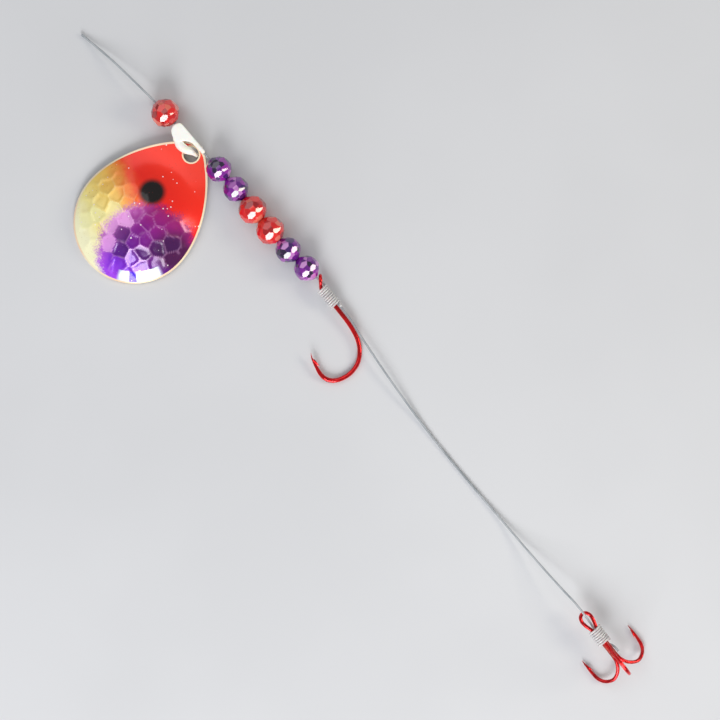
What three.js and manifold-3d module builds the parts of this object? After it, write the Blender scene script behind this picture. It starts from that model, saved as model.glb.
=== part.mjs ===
// A two-hook spinner rig for worm fishing, laid flat: a clear line carries a string of faceted beads,
// a quick-change clevis with a domed teardrop blade, a snelled octopus hook and a snelled treble hook.
// Units are millimetres.  +X runs down the line towards the treble, +Y is across, +Z is up.
import * as THREE from 'three';
import { mergeVertices } from 'three/addons/utils/BufferGeometryUtils.js';
import Module from 'manifold-3d';

const wasm = await Module();
wasm.setup();

// ---------------------------------------------------------------- driving dimensions
const LINE_DIAMETER = 0.48;
const LINE_HEIGHT = 3.16;           // the beads hold the line this far above the surface
const CORD_GAP = 0.14;              // between the two stretches of line, end to end

const RED_BEAD = { across: 5.75, length: 5.85 };
const PURPLE_BEAD = { across: 5.4, length: 5.6 };
const BEAD_BORE = 1.4;
const BEAD_BORE_SIDES = 8;
const BEAD_GAP = 0.05;
const BEAD_SIDES = 8;
const BEAD_ROWS = [-56, -19, 19, 56]; // tilt of each row of facets from the bead's equator, degrees
const FIRST_STRUNG_BEAD_X = 16.9;
// colour and sideways place of each bead in the string below the clevis
const STRUNG_BEADS = [
  { colour: 'purple', y: 0.35 },
  { colour: 'purple', y: 0.15 },
  { colour: 'red', y: -0.2 },
  { colour: 'red', y: -0.4 },
  { colour: 'purple', y: -0.4 },
  { colour: 'purple', y: -0.1 },
];

const CLEVIS_HEAD_THICKNESS = 2.1;
const CLEVIS_EDGE_ROUNDING = 0.5;
const CLEVIS_BORE = 0.9;
const CLEVIS_BORE_LENGTH = 30;
const CLEVIS_LINE = { x: 5, y: 0.12, rise: 0.025 }; // where the line passes through, and its slant
const CLEVIS_CATCH = { x: 10.85, y: 0.96, z: 1.78, length: 1.0, width: 0.4, height: 1.4 };
const FINGER_PIVOT = { x: 6.0, y: -1.75 };
const FINGER_OPENING = 10;           // degrees the finger springs aside
const FINGER_CLEARANCE = 0.08;
const KNUCKLE_RADIUS = 0.95;
const KNUCKLE_INSET = 0.05;          // the knuckle's ends lie this far inside the head's faces

const BLADE_HOLE = { x: 10.36, y: -1.94, radius: 1.7 };
const BLADE_HEADING = -82.6;         // the blade's long axis, degrees from +X
const BLADE_THICKNESS = 0.6;
const BLADE_DOME = 5.2;
const BLADE_ROUND = { centre: 19.0, across: 13.4, along: 13.65 };
const BLADE_TIP = -2.45;             // along the blade's axis from the centre of its hole
const BLADE_END = BLADE_ROUND.centre + BLADE_ROUND.along;
const BLADE_TAB_LIFT = 1.25;         // the clevis holds the tip this far above the surface
const DOME_STARTS = 2;
const DOME_FULL = 15;

const HOOK_WIRE = 1.0;
const HOOK_BEND_X = 68.9;            // where the front hook touches the surface
const HOOK_SLOPE = 0.12;             // its eye end is propped up by the beads
const HOOK_POINT = 0.06;             // radius at the tip of every hook
const HOOK_EYE = { x: 49.65, y: 0.35, radius: 1.05, wire: 0.75, turn: 140 };

const TREBLE_WIRE = 0.8;
const TREBLE_PLACE = { x: 141.0, y: -6.55, z: 4.1, heading: -4.5 };
const TREBLE_SHANK_OFFSET = TREBLE_WIRE / Math.sqrt(3);
const TREBLE_WIRE_GAP = 0.08;        // between the third wire and the pair it lies on
const TREBLE_LENGTH = 16.1;
const TREBLE_GAPE = 7.3;
const TREBLE_DIRECTIONS = { right: -30, left: 210, upper: 90 }; // degrees round its shank
const BRAZE_START = 6.2;
const BRAZE_END = 12.2;
// distance out from the shank's middle, and half of the width at the outer end
const BRAZE_SECTION = { inner: 0.44, outer: 0.72, halfWidth: 0.12 };

const SNELL_PITCH = 0.52;
const SNELL_CLEARANCE = 0.18;
const SNELL_STEPS = 10;              // steps in each turn
const REAR_SNELL_RADIUS = 1.4;
const REAR_SNELL_HEIGHT = TREBLE_PLACE.z - 0.1;

// ---------------------------------------------------------------- materials
function plastic(colour, roughness, opacity = 1) {
  return new THREE.MeshStandardMaterial({
    color: colour, roughness, metalness: 0, opacity, transparent: opacity < 1,
  });
}

function metal(colour, roughness) {
  return new THREE.MeshStandardMaterial({ color: colour, roughness, metalness: 1 });
}

const clearLine = () => plastic(0xe6e8ea, 0.15, 0.6);
const redAcrylic = () => plastic(0xd81414, 0.08, 0.75);
const purpleAcrylic = () => plastic(0x7a1f9c, 0.08, 0.75);
const whiteNylon = () => plastic(0xf4f4ef, 0.35);
const paintedBrass = () => metal(0xe0662c, 0.25);
const redHookSteel = () => metal(0xc81a1e, 0.28);
const brazingAlloy = () => metal(0x9c2b22, 0.45);

// ---------------------------------------------------------------- mesh helpers
const radians = THREE.MathUtils.degToRad;
const vec = (x, y, z) => new THREE.Vector3(x, y, z);

function weld(geometry) {
  const bare = geometry.clone();
  bare.deleteAttribute('normal');
  bare.deleteAttribute('uv');
  return mergeVertices(bare, 1e-5);
}

function toSolid(geometry) {
  const welded = weld(geometry);
  return new wasm.Manifold(new wasm.Mesh({
    numProp: 3,
    vertProperties: new Float32Array(welded.attributes.position.array),
    triVerts: new Uint32Array(welded.index.array),
  }));
}

function toGeometry(solid) {
  const mesh = solid.getMesh();
  const geometry = new THREE.BufferGeometry();
  geometry.setAttribute('position', new THREE.BufferAttribute(mesh.vertProperties, 3));
  geometry.setIndex(new THREE.BufferAttribute(mesh.triVerts, 1));
  return geometry;
}

const subtractAll = (solid, tools) => tools.reduce((left, tool) => left.subtract(tool), solid);
const addAll = (solids) => solids.reduce((whole, next) => whole.add(next));

function namedMesh(name, geometry, material) {
  const mesh = new THREE.Mesh(geometry, material);
  mesh.name = name;
  return mesh;
}

function smoothCurve(points) {
  return new THREE.CatmullRomCurve3(points, false, 'centripetal');
}

// A constant round tube along a curve.
function tube(curve, diameter, sides, steps) {
  const section = new THREE.Shape();
  for (let side = 0; side < sides; side += 1) {
    const angle = (side / sides) * 2 * Math.PI;
    const x = (diameter / 2) * Math.cos(angle);
    const y = (diameter / 2) * Math.sin(angle);
    if (side === 0) {
      section.moveTo(x, y);
    } else {
      section.lineTo(x, y);
    }
  }
  return new THREE.ExtrudeGeometry(section, { steps, curveSegments: 1, extrudePath: curve });
}

// A round bar along a curve whose radius changes, closed by a fan at each end.
// stations is a list of [share of the length, radius].
function taperedBar(curve, stations, sides, steps) {
  const frames = curve.computeFrenetFrames(steps, false);
  const positions = [];
  const triangles = [];
  for (let step = 0; step <= steps; step += 1) {
    const share = step / steps;
    const centre = curve.getPointAt(share);
    const radius = radiusAt(stations, share);
    for (let side = 0; side < sides; side += 1) {
      const angle = (side / sides) * 2 * Math.PI;
      const out = frames.normals[step].clone().multiplyScalar(radius * Math.cos(angle));
      out.addScaledVector(frames.binormals[step], radius * Math.sin(angle));
      positions.push(...centre.clone().add(out).toArray());
    }
  }
  for (let step = 0; step < steps; step += 1) {
    for (let side = 0; side < sides; side += 1) {
      const here = step * sides + side;
      const next = step * sides + ((side + 1) % sides);
      triangles.push(here, next, next + sides, here, next + sides, here + sides);
    }
  }
  const first = positions.length / 3;
  positions.push(...curve.getPointAt(0).toArray(), ...curve.getPointAt(1).toArray());
  for (let side = 0; side < sides; side += 1) {
    const next = (side + 1) % sides;
    triangles.push(first, next, side);
    triangles.push(first + 1, steps * sides + side, steps * sides + next);
  }
  const geometry = new THREE.BufferGeometry();
  geometry.setAttribute('position', new THREE.Float32BufferAttribute(positions, 3));
  geometry.setIndex(triangles);
  return geometry;
}

function radiusAt(stations, share) {
  for (let index = 1; index < stations.length; index += 1) {
    const [startShare, startRadius] = stations[index - 1];
    const [endShare, endRadius] = stations[index];
    if (share <= endShare) {
      return THREE.MathUtils.mapLinear(share, startShare, endShare, startRadius, endRadius);
    }
  }
  return stations[stations.length - 1][1];
}

// ---------------------------------------------------------------- the line
function hookHeight(x) {
  return HOOK_WIRE / 2 + HOOK_SLOPE * (HOOK_BEND_X - x);
}

// From the cut end, through the beads, the clevis and the hook's eye, then along the shank.
const LEADER_ROUTE = [
  [-25.3, -1.9, 0.4], [-21.5, -1.35, 0.75], [-17.0, -0.8, 1.45], [-12.0, -0.45, 2.3],
  [-7.6, -0.2, 2.88], [-3.0, 0.0, 3.12], [0.0, 0.0, 3.16], [5.0, 0.12, 3.16], [10.0, 0.25, 3.16],
  [13.5, 0.32, 3.16], [16.9, 0.35, 3.16], [22.5, 0.15, 3.16], [28.3, -0.2, 3.16],
  [34.2, -0.4, 3.16], [40.0, -0.4, 3.16], [44.5, -0.15, 3.14], [48.3, 0.0, 2.98],
  [49.2, 0.22, 2.88], [49.9, 0.42, 2.81], [50.45, 0.46, 2.77], [51.0, 0.27, 2.7],
  [51.6, -0.04, 2.6], [52.3, -0.14, 2.5], [53.6, -0.18, 2.34], [56.1, -0.26, 2.04],
  [58.4, -0.39, 1.82], [60.7, -0.62, 1.72], [62.6, -1.0, 1.68], [64.45, -1.37, 1.65],
];

// From the front hook, over the surface, up through the treble's eye and under its wraps.
const TAIL_ROUTE = [
  [64.45 + CORD_GAP, -1.38, 1.65], [67.0, -1.75, 1.64], [69.9, -2.2, 1.62], [74.0, -2.8, 1.58],
  [79.3, -3.5, 1.2], [85.7, -4.2, 0.6], [90.5, -4.65, 0.35], [95.6, -5.0, 0.3],
  [105.0, -5.45, 0.3], [116.1, -5.8, 0.65], [123.0, -6.05, 1.5], [129.8, -6.2, 2.8],
  [135.5, -6.2, 4.0], [138.2, -6.15, 4.5], [140.3, -6.25, 4.8],
  [141.4, -6.37, 4.74], [142.4, -6.47, 4.4], [143.3, -6.55, 3.9], [144.1, -6.65, 3.45],
  [145.2, -6.83, 3.22], [147.0, -7.02, 3.2], [149.37, -7.19, 3.2], [150.21, -6.72, 3.16],
  [151.25, -6.25, 3.5], [152.66, -6.26, 3.8],
];

// A curve stepped from one route point to the next, so its steps are short where the points are close.
class RouteCurve extends THREE.CatmullRomCurve3 {
  getUtoTmapping(share) {
    return share;
  }
}

const LINE_SIDES = 8;

function lineAlong(name, route) {
  const curve = new RouteCurve(route.map((point) => vec(...point)), false, 'centripetal');
  return namedMesh(name, tube(curve, LINE_DIAMETER, LINE_SIDES, route.length - 1), clearLine());
}

// ---------------------------------------------------------------- beads
// A ball cut by rows of flat facets, drilled along X.
function facetedBead({ across, length }) {
  const block = new THREE.BoxGeometry(length, across * 1.2, across * 1.2);
  const cutters = [];
  BEAD_ROWS.forEach((tilt, row) => {
    for (let side = 0; side < BEAD_SIDES; side += 1) {
      const turn = ((side + (row % 2) / 2) / BEAD_SIDES) * 2 * Math.PI;
      const cutter = new THREE.BoxGeometry(across, across * 2, across * 2);
      cutter.translate(across, 0, 0);
      cutter.rotateZ(Math.PI / 2 - radians(tilt));
      cutter.rotateX(turn);
      cutters.push(toSolid(cutter));
    }
  });
  const bore = new THREE.CylinderGeometry(BEAD_BORE / 2, BEAD_BORE / 2, length * 2, BEAD_BORE_SIDES);
  bore.rotateZ(Math.PI / 2);
  return toGeometry(subtractAll(toSolid(block), [...cutters, toSolid(bore)]));
}

function upperBead() {
  const bead = namedMesh('upper_bead', facetedBead(RED_BEAD), redAcrylic());
  bead.position.set(0, 0, LINE_HEIGHT);
  return bead;
}

function strungBeads() {
  const counts = { red: 0, purple: 0 };
  let x = FIRST_STRUNG_BEAD_X;
  let lengthBefore = null;
  return STRUNG_BEADS.map(({ colour, y }) => {
    const size = colour === 'red' ? RED_BEAD : PURPLE_BEAD;
    if (lengthBefore !== null) {
      x += lengthBefore / 2 + BEAD_GAP + size.length / 2;
    }
    lengthBefore = size.length;
    counts[colour] += 1;
    const material = colour === 'red' ? redAcrylic() : purpleAcrylic();
    const bead = namedMesh(`${colour}_bead_${counts[colour]}`, facetedBead(size), material);
    bead.position.set(x, y, LINE_HEIGHT);
    return bead;
  });
}

// ---------------------------------------------------------------- quick-change clevis
// The flat body: a rounded head that narrows into a slim leg along the line.
function clevisOutline() {
  const outline = new THREE.Shape();
  outline.moveTo(3.75, 0.75);
  outline.bezierCurveTo(3.1, 0.2, 3.1, -0.9, 3.75, -1.6);
  outline.bezierCurveTo(4.2, -2.2, 5.2, -2.3, 6.2, -2.3);
  outline.lineTo(6.9, -1.6);
  outline.bezierCurveTo(7.4, -0.9, 8.0, -0.3, 8.9, -0.1);
  outline.lineTo(11.9, -0.05);
  outline.bezierCurveTo(12.5, 0.0, 12.5, 0.75, 11.9, 0.8);
  outline.lineTo(6.9, 0.98);
  outline.lineTo(4.6, 1.1);
  outline.bezierCurveTo(4.2, 1.1, 4.0, 1.0, 3.75, 0.75);
  return outline;
}

function clevisPlate() {
  const plate = new THREE.ExtrudeGeometry(clevisOutline(), {
    depth: CLEVIS_HEAD_THICKNESS - 2 * CLEVIS_EDGE_ROUNDING,
    curveSegments: 5,
    bevelThickness: CLEVIS_EDGE_ROUNDING,
    bevelSize: CLEVIS_EDGE_ROUNDING / 2,
    bevelSegments: 2,
  });
  plate.translate(0, 0, LINE_HEIGHT - CLEVIS_HEAD_THICKNESS / 2 + CLEVIS_EDGE_ROUNDING);
  return toSolid(plate);
}

// The catch under the leg's outer edge that the finger's tip snaps beneath.
function clevisCatch() {
  const { x, y, z, length, width, height } = CLEVIS_CATCH;
  const post = new THREE.BoxGeometry(length, width, height);
  post.translate(x, y, z);
  return toSolid(post);
}

// From the pivot, along the head, down through the blade's hole and back under the catch.
const FINGER_ROUTE = [
  [FINGER_PIVOT.x, FINGER_PIVOT.y, 3.2], [7.3, -2.3, 3.2], [8.7, -2.15, 3.12], [9.8, -1.65, 2.85],
  [10.6, -1.35, 2.3], [11.05, -1.25, 1.5], [11.32, -0.95, 0.78], [11.35, 0.1, 0.62], [11.0, 1.05, 0.62],
];

const FINGER_RADII = [
  [0, 0.95], [0.15, 0.98], [0.3, 0.95], [0.45, 0.8], [0.56, 0.52], [0.66, 0.42], [0.8, 0.38], [1, 0.34],
];

function fingerBar(extra) {
  const curve = smoothCurve(FINGER_ROUTE.map((point) => vec(...point)));
  const stations = FINGER_RADII.map(([share, radius]) => [share, radius + extra]);
  return taperedBar(curve, stations, 10, 26);
}

function fingerKnuckle(extra) {
  const radius = KNUCKLE_RADIUS + extra;
  const height = CLEVIS_HEAD_THICKNESS - 2 * KNUCKLE_INSET + 4 * extra;
  const knuckle = new THREE.CylinderGeometry(radius, radius, height, 14);
  knuckle.rotateX(Math.PI / 2);
  knuckle.translate(FINGER_PIVOT.x, FINGER_PIVOT.y, LINE_HEIGHT);
  return knuckle;
}

function fingerSolid(extra) {
  return toSolid(fingerBar(extra)).add(toSolid(fingerKnuckle(extra)));
}

function lineBore(diameter) {
  const bore = new THREE.CylinderGeometry(diameter / 2, diameter / 2, CLEVIS_BORE_LENGTH, 10);
  bore.rotateZ(Math.PI / 2 + Math.atan(CLEVIS_LINE.rise));
  bore.translate(CLEVIS_LINE.x, CLEVIS_LINE.y, LINE_HEIGHT);
  return toSolid(bore);
}

function turnedAboutPivot(geometry, degrees) {
  const turned = geometry.clone();
  turned.translate(-FINGER_PIVOT.x, -FINGER_PIVOT.y, 0);
  turned.rotateZ(radians(degrees));
  turned.translate(FINGER_PIVOT.x, FINGER_PIVOT.y, 0);
  return toSolid(turned);
}

function clevisBody() {
  const socket = toGeometry(fingerSolid(FINGER_CLEARANCE));
  const room = [0, -FINGER_OPENING / 2, -FINGER_OPENING].map((angle) => turnedAboutPivot(socket, angle));
  const body = subtractAll(clevisPlate().add(clevisCatch()), [...room, lineBore(CLEVIS_BORE)]);
  const pieces = body.decompose().sort((a, b) => b.volume() - a.volume());
  return namedMesh('clevis_body', toGeometry(pieces[0]), whiteNylon());
}

function clevisFinger() {
  const finger = fingerSolid(0).subtract(lineBore(CLEVIS_BORE + 0.1));
  return namedMesh('clevis_finger', toGeometry(finger), whiteNylon());
}

// ---------------------------------------------------------------- spinner blade
// The outline in blade coordinates: t runs from the hole to the far end, w is across.
function bladeOutline() {
  const { centre, across, along } = BLADE_ROUND;
  const half = new THREE.CurvePath();
  const at = (t, w) => new THREE.Vector2(t, w);
  half.add(new THREE.CubicBezierCurve(at(BLADE_TIP, 0), at(BLADE_TIP, 1.9), at(-1.6, 2.9), at(-0.3, 4.1)));
  half.add(new THREE.CubicBezierCurve(at(-0.3, 4.1), at(2.4, 7.3), at(10.4, across), at(centre, across)));
  const side = [...half.curves[0].getPoints(4), ...half.curves[1].getPoints(7).slice(1)];
  const round = new THREE.EllipseCurve(centre, 0, along, across, Math.PI / 2, 0, true).getPoints(9);
  const upper = [...side, ...round.slice(1)];
  const lower = upper.slice(1, -1).reverse().map(({ x, y }) => at(x, -y));
  return [...upper, ...lower];
}

function domeHeight(t, reach) {
  const rise = THREE.MathUtils.smoothstep(t, DOME_STARTS, DOME_FULL);
  return BLADE_DOME * rise * (1 - reach * reach);
}

function bladeSheet() {
  const outline = bladeOutline();
  const middle = BLADE_ROUND.centre;
  const reaches = [1, 0.9, 0.78, 0.62, 0.42, 0.2];
  const count = outline.length;
  const positions = [];
  const triangles = [];
  const sheetPoint = (t, w, reach, lift) => {
    const tilt = (BLADE_TAB_LIFT * (BLADE_END - t)) / BLADE_END;
    positions.push(t, w, domeHeight(t, reach) + tilt + lift);
  };
  const faceSize = reaches.length * count + 1;
  [0, BLADE_THICKNESS].forEach((lift) => {
    reaches.forEach((reach) => outline.forEach((point) => {
      sheetPoint(middle + (point.x - middle) * reach, point.y * reach, reach, lift);
    }));
    sheetPoint(middle, 0, 0, lift);
  });
  const corner = (face, ring, index) => face * faceSize + ring * count + (index % count);
  for (let index = 0; index < count; index += 1) {
    [0, 1].forEach((face) => {
      for (let ring = 0; ring < reaches.length - 1; ring += 1) {
        const quad = [corner(face, ring, index), corner(face, ring, index + 1),
          corner(face, ring + 1, index + 1), corner(face, ring + 1, index)];
        pushQuad(triangles, quad, face === 1);
      }
      const inner = reaches.length - 1;
      const centre = (face + 1) * faceSize - 1;
      const fan = [corner(face, inner, index), corner(face, inner, index + 1), centre];
      triangles.push(...(face === 1 ? fan.reverse() : fan));
    });
    pushQuad(triangles, [corner(0, 0, index), corner(0, 0, index + 1),
      corner(1, 0, index + 1), corner(1, 0, index)], true);
  }
  const geometry = new THREE.BufferGeometry();
  geometry.setAttribute('position', new THREE.Float32BufferAttribute(positions, 3));
  geometry.setIndex(triangles);
  return geometry;
}

function pushQuad(triangles, [a, b, c, d], flipped) {
  if (flipped) {
    triangles.push(a, c, b, a, d, c);
  } else {
    triangles.push(a, b, c, a, c, d);
  }
}

function spinnerBlade() {
  const hole = new THREE.CylinderGeometry(BLADE_HOLE.radius, BLADE_HOLE.radius, 12, 20);
  hole.rotateX(Math.PI / 2);
  const solid = toSolid(bladeSheet()).subtract(toSolid(hole));
  const blade = namedMesh('spinner_blade', toGeometry(solid), paintedBrass());
  blade.rotation.z = radians(BLADE_HEADING);
  blade.position.set(BLADE_HOLE.x, BLADE_HOLE.y, 0);
  return blade;
}

// ---------------------------------------------------------------- front hook
// The bend lies in one sloping plane, so each point's height follows from its x.
const HOOK_BEND = [
  [50.4, -0.34], [51.6, -0.9], [53.6, -0.98], [56.1, -1.05], [58.4, -1.2], [60.7, -1.42],
  [62.6, -1.78], [64.5, -2.35], [66.1, -3.25], [67.4, -4.45], [68.4, -5.95], [68.85, -7.7],
  [68.8, -9.5], [68.2, -11.4], [67.2, -12.7], [65.9, -13.35], [64.5, -13.4], [63.1, -13.1],
  [61.9, -12.8], [60.7, -12.4], [59.8, -11.85],
].map(([x, y]) => vec(x, y, hookHeight(x)));

const HOOK_BARB = [[61.3, -12.5], [62.2, -12.47], [63.15, -12.45]].map(([x, y]) => vec(x, y, hookHeight(x)));

function hookEye() {
  const { x, y, radius, wire, turn } = HOOK_EYE;
  const ring = new THREE.TorusGeometry(radius, wire / 2, 8, 18);
  ring.rotateX(Math.PI / 2);
  ring.rotateZ(radians(turn));
  ring.translate(x, y, hookHeight(x));
  return toSolid(ring);
}

function frontHook() {
  const wire = HOOK_WIRE / 2;
  const stations = [[0, wire * 0.85], [0.08, wire], [0.8, wire], [0.86, wire * 0.9], [0.93, wire * 0.6],
    [1, HOOK_POINT]];
  const bend = toSolid(taperedBar(smoothCurve(HOOK_BEND), stations, 8, 46));
  const barb = toSolid(taperedBar(smoothCurve(HOOK_BARB), [[0, 0.3], [0.5, 0.22], [1, 0.04]], 6, 4));
  return namedMesh('front_hook', toGeometry(addAll([bend, barb, hookEye()])), redHookSteel());
}

// ---------------------------------------------------------------- snells
// Line wound round a shank in a flattened spiral that runs from one point to another along its middle.
function snellCurve({ from, to, halfWidth, halfHeight }) {
  const turns = Math.round(from.distanceTo(to) / SNELL_PITCH);
  const along = to.clone().sub(from).normalize();
  const across = vec(0, 0, 1).cross(along).normalize();
  const up = along.clone().cross(across);
  const steps = turns * SNELL_STEPS;
  const points = [];
  for (let index = 0; index <= steps; index += 1) {
    const share = index / steps;
    const angle = 2 * Math.PI * turns * share;
    const point = from.clone().lerp(to, share);
    point.addScaledVector(across, halfWidth * Math.cos(angle));
    point.addScaledVector(up, halfHeight * Math.sin(angle));
    points.push(point);
  }
  return { curve: smoothCurve(points), steps };
}

function snell(name, settings) {
  const { curve, steps } = snellCurve(settings);
  return namedMesh(name, tube(curve, LINE_DIAMETER, 6, steps), clearLine());
}

// The wraps hold the shank and the line that lies beside it, so they are wider than they are tall.
function frontSnell() {
  return snell('front_snell', {
    from: vec(51.9, -0.64, hookHeight(51.9)),
    to: vec(56.1, -0.78, hookHeight(56.1)),
    halfWidth: (HOOK_WIRE + LINE_DIAMETER * 2) / 2 + SNELL_CLEARANCE,
    halfHeight: (HOOK_WIRE + LINE_DIAMETER) / 2 + SNELL_CLEARANCE,
  });
}

// ---------------------------------------------------------------- treble hook
// In treble coordinates x runs from the eye's front to the bends, and each bend leans out by r.
const TREBLE_BEND = [
  [12.0, 0], [13.2, 0.22], [14.5, 0.95], [15.5, 2.1], [TREBLE_LENGTH, 3.6], [TREBLE_LENGTH - 0.2, 5.0],
  [15.2, 6.2], [14.0, 6.95], [12.4, 7.2], [10.6, TREBLE_GAPE], [8.9, TREBLE_GAPE],
];
const TREBLE_BARB = [[10.1, 7.25], [11.0, 7.0], [12.0, 6.65]];
const TREBLE_EYE = [[0.4, 0], [0.75, 0.75], [1.6, 1.16], [2.7, 1.1], [4.0, 0.75], [5.3, 0.4], [8.0, 0.4]];

function trebleBend(direction, start) {
  const out = [Math.cos(radians(direction)), Math.sin(radians(direction))];
  const bend = TREBLE_BEND.map(([x, r]) => {
    const reach = TREBLE_SHANK_OFFSET + r * (1 - TREBLE_SHANK_OFFSET / TREBLE_GAPE);
    return vec(x, out[0] * reach, out[1] * reach);
  });
  return [...start, ...bend];
}

function trebleWire(points) {
  const wire = TREBLE_WIRE / 2;
  const stations = [[0, wire], [0.8, wire], [0.9, wire * 0.7], [1, HOOK_POINT]];
  return toSolid(taperedBar(smoothCurve(points), stations, 8, 38));
}

function trebleBarb(direction) {
  const out = [Math.cos(radians(direction)), Math.sin(radians(direction))];
  const points = TREBLE_BARB.map(([x, r]) => vec(x, out[0] * r, out[1] * r));
  return toSolid(taperedBar(smoothCurve(points), [[0, 0.2], [0.5, 0.16], [1, 0.04]], 6, 3));
}

// One wire bent double: its middle is the eye and its ends are two of the hooks.
function treblePairWire() {
  const height = -TREBLE_SHANK_OFFSET / 2;
  const halves = [-1, 1].map((side) => {
    const eye = TREBLE_EYE.map(([x, y]) => vec(x, side * y, height));
    const direction = side > 0 ? TREBLE_DIRECTIONS.right : TREBLE_DIRECTIONS.left;
    return trebleWire(trebleBend(direction, eye)).add(trebleBarb(direction));
  });
  const crown = new THREE.SphereGeometry(TREBLE_WIRE / 2 + 0.01, 10, 8);
  crown.translate(TREBLE_EYE[0][0], 0, height);
  return addAll([...halves, toSolid(crown)]);
}

function trebleThirdWire() {
  const start = [5.4, 8.0].map((x) => vec(x, 0, TREBLE_SHANK_OFFSET));
  const wire = trebleWire(trebleBend(TREBLE_DIRECTIONS.upper, start));
  return wire.add(trebleBarb(TREBLE_DIRECTIONS.upper)).translate([0, 0, TREBLE_WIRE_GAP]);
}

// Brazing along one of the two grooves where the third wire lies on the pair.
function trebleBraze(direction) {
  const { inner, outer, halfWidth } = BRAZE_SECTION;
  const groove = new THREE.Shape();
  groove.moveTo(inner, 0);
  groove.lineTo(outer, -halfWidth);
  groove.lineTo(outer, halfWidth);
  groove.closePath();
  const strip = new THREE.ExtrudeGeometry(groove, { depth: BRAZE_END - BRAZE_START, bevelEnabled: false });
  strip.rotateZ(radians(direction));
  strip.rotateX(Math.PI / 2);
  strip.rotateZ(Math.PI / 2);
  strip.translate(BRAZE_START, 0, 0);
  return strip;
}

function treble() {
  const { x, y, z, heading } = TREBLE_PLACE;
  const hook = new THREE.Group();
  hook.add(namedMesh('treble_pair_wire', toGeometry(treblePairWire()), redHookSteel()));
  hook.add(namedMesh('treble_third_wire', toGeometry(trebleThirdWire()), redHookSteel()));
  hook.add(namedMesh('treble_braze_right', trebleBraze(30), brazingAlloy()));
  hook.add(namedMesh('treble_braze_left', trebleBraze(150), brazingAlloy()));
  hook.position.set(x, y, z);
  hook.rotation.z = radians(heading);
  return hook;
}

function rearSnell() {
  return snell('rear_snell', {
    from: vec(145.6, -6.91, REAR_SNELL_HEIGHT),
    to: vec(149.3, -7.2, REAR_SNELL_HEIGHT),
    halfWidth: REAR_SNELL_RADIUS,
    halfHeight: REAR_SNELL_RADIUS,
  });
}

// ---------------------------------------------------------------- assembly
const rig = new THREE.Group();
rig.add(lineAlong('leader_line', LEADER_ROUTE), lineAlong('tail_line', TAIL_ROUTE));
rig.add(upperBead(), ...strungBeads());
rig.add(clevisBody(), clevisFinger(), spinnerBlade());
rig.add(frontHook(), frontSnell());
rig.add(treble(), rearSnell());

// The origin is under the middle of everything but the line.
rig.updateMatrixWorld(true);
const extent = new THREE.Box3();
rig.traverse((piece) => {
  if (piece.isMesh && !piece.name.endsWith('_line')) {
    extent.expandByObject(piece, true);
  }
});
rig.position.set(-(extent.min.x + extent.max.x) / 2, -(extent.min.y + extent.max.y) / 2, -extent.min.z);

export default rig;
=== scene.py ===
"""A worm-fishing spinner rig: faceted beads, clevis and teardrop blade, snelled hook and snelled treble."""
import math
import random

import bmesh
import bpy
from mathutils import Matrix, Vector


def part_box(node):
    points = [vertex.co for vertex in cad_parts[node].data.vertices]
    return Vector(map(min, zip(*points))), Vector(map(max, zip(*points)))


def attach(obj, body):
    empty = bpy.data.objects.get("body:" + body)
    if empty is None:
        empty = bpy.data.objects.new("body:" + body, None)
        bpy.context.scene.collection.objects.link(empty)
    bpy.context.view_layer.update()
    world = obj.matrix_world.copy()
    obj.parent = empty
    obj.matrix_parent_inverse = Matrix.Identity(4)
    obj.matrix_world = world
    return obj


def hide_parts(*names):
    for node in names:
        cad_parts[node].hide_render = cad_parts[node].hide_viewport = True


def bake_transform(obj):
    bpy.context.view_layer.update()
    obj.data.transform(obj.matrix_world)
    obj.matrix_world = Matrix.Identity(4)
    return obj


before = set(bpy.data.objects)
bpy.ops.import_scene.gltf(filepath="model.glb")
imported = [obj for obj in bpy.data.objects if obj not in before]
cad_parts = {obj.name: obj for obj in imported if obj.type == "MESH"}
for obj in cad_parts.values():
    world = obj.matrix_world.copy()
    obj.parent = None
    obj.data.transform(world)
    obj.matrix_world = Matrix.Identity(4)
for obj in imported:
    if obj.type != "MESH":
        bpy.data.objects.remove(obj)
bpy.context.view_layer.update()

# ---- places, in metres
# Every place below is measured from the upper bead's middle, on the surface that the rig lies on.
bead_low, bead_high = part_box("upper_bead")
RIG_ORIGIN = Vector(((bead_low.x + bead_high.x) / 2, (bead_low.y + bead_high.y) / 2, bead_low.z))
MM = 0.001

LINE_DIAMETER = 0.00048
LINE_SIDES = 16
LINE_SPACING = 0.5 * MM
LINE_HEIGHT = 0.00316
# From the cut end, through the beads, the clevis and the hook's eye, then along the shank.
LEADER_ROUTE = [
    (-0.0253, -0.0019, 0.0004), (-0.0215, -0.00135, 0.00075), (-0.017, -0.0008, 0.00145),
    (-0.012, -0.00045, 0.0023), (-0.0076, -0.0002, 0.00288), (-0.003, 0, 0.00312),
    (0, 0, 0.00316), (0.005, 0.00012, 0.00316), (0.01, 0.00025, 0.00316), (0.0135, 0.00032, 0.00316),
    (0.0169, 0.00035, 0.00316), (0.0225, 0.00015, 0.00316), (0.0283, -0.0002, 0.00316),
    (0.0342, -0.0004, 0.00316), (0.04, -0.0004, 0.00316), (0.0445, -0.00015, 0.00314),
    (0.0483, 0, 0.00298), (0.0492, 0.00022, 0.00288), (0.0499, 0.00042, 0.00281),
    (0.05045, 0.00046, 0.00277), (0.051, 0.00027, 0.0027), (0.0516, -0.00004, 0.0026),
    (0.0523, -0.00014, 0.0025), (0.0536, -0.00018, 0.00234), (0.0561, -0.00026, 0.00204),
    (0.0584, -0.00039, 0.00182), (0.0607, -0.00062, 0.00172), (0.0626, -0.001, 0.00168),
    (0.06445, -0.00137, 0.00165),
]
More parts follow.
